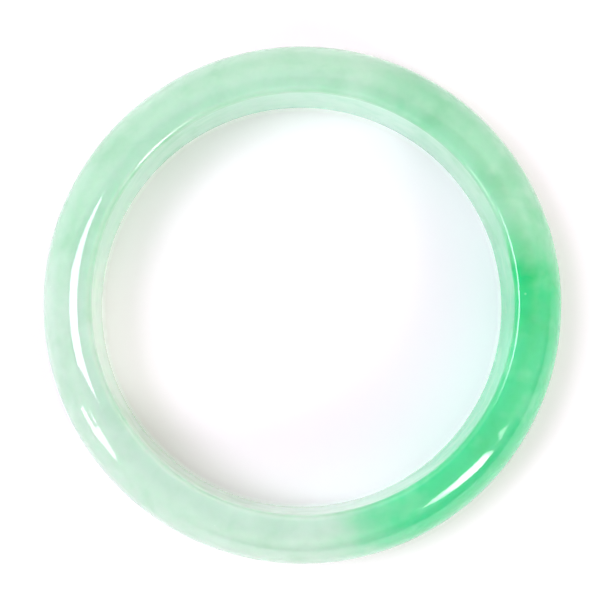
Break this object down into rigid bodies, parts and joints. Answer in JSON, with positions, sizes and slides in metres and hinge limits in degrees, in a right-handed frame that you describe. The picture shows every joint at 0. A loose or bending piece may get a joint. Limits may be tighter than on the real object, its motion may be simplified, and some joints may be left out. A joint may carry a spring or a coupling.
{
  "type": "bangle bracelet",
  "caption": "Closed slip-on bangle ring in pale green polished stone, with a flat inner wall, a domed outside and rounded inner edges.",
  "frame": {"origin": "centre of the opening, on the plane that the lower rim rests on", "axes": "+Z along the axis of the ring, up from the rim it rests on. The ring is round about Z; +X points to the side where its green is strongest"},
  "size_m": [0.0704, 0.0704, 0.0136],
  "materials": {
    "jadeite": "jadeite, polished to a glassy gloss; pale mint green, deepening to a strong green over a quarter of the ring, with soft white clouds"
  },
  "bodies": {
    "root": {"bangle_ring": "jadeite"}
  },
  "joints": []
}
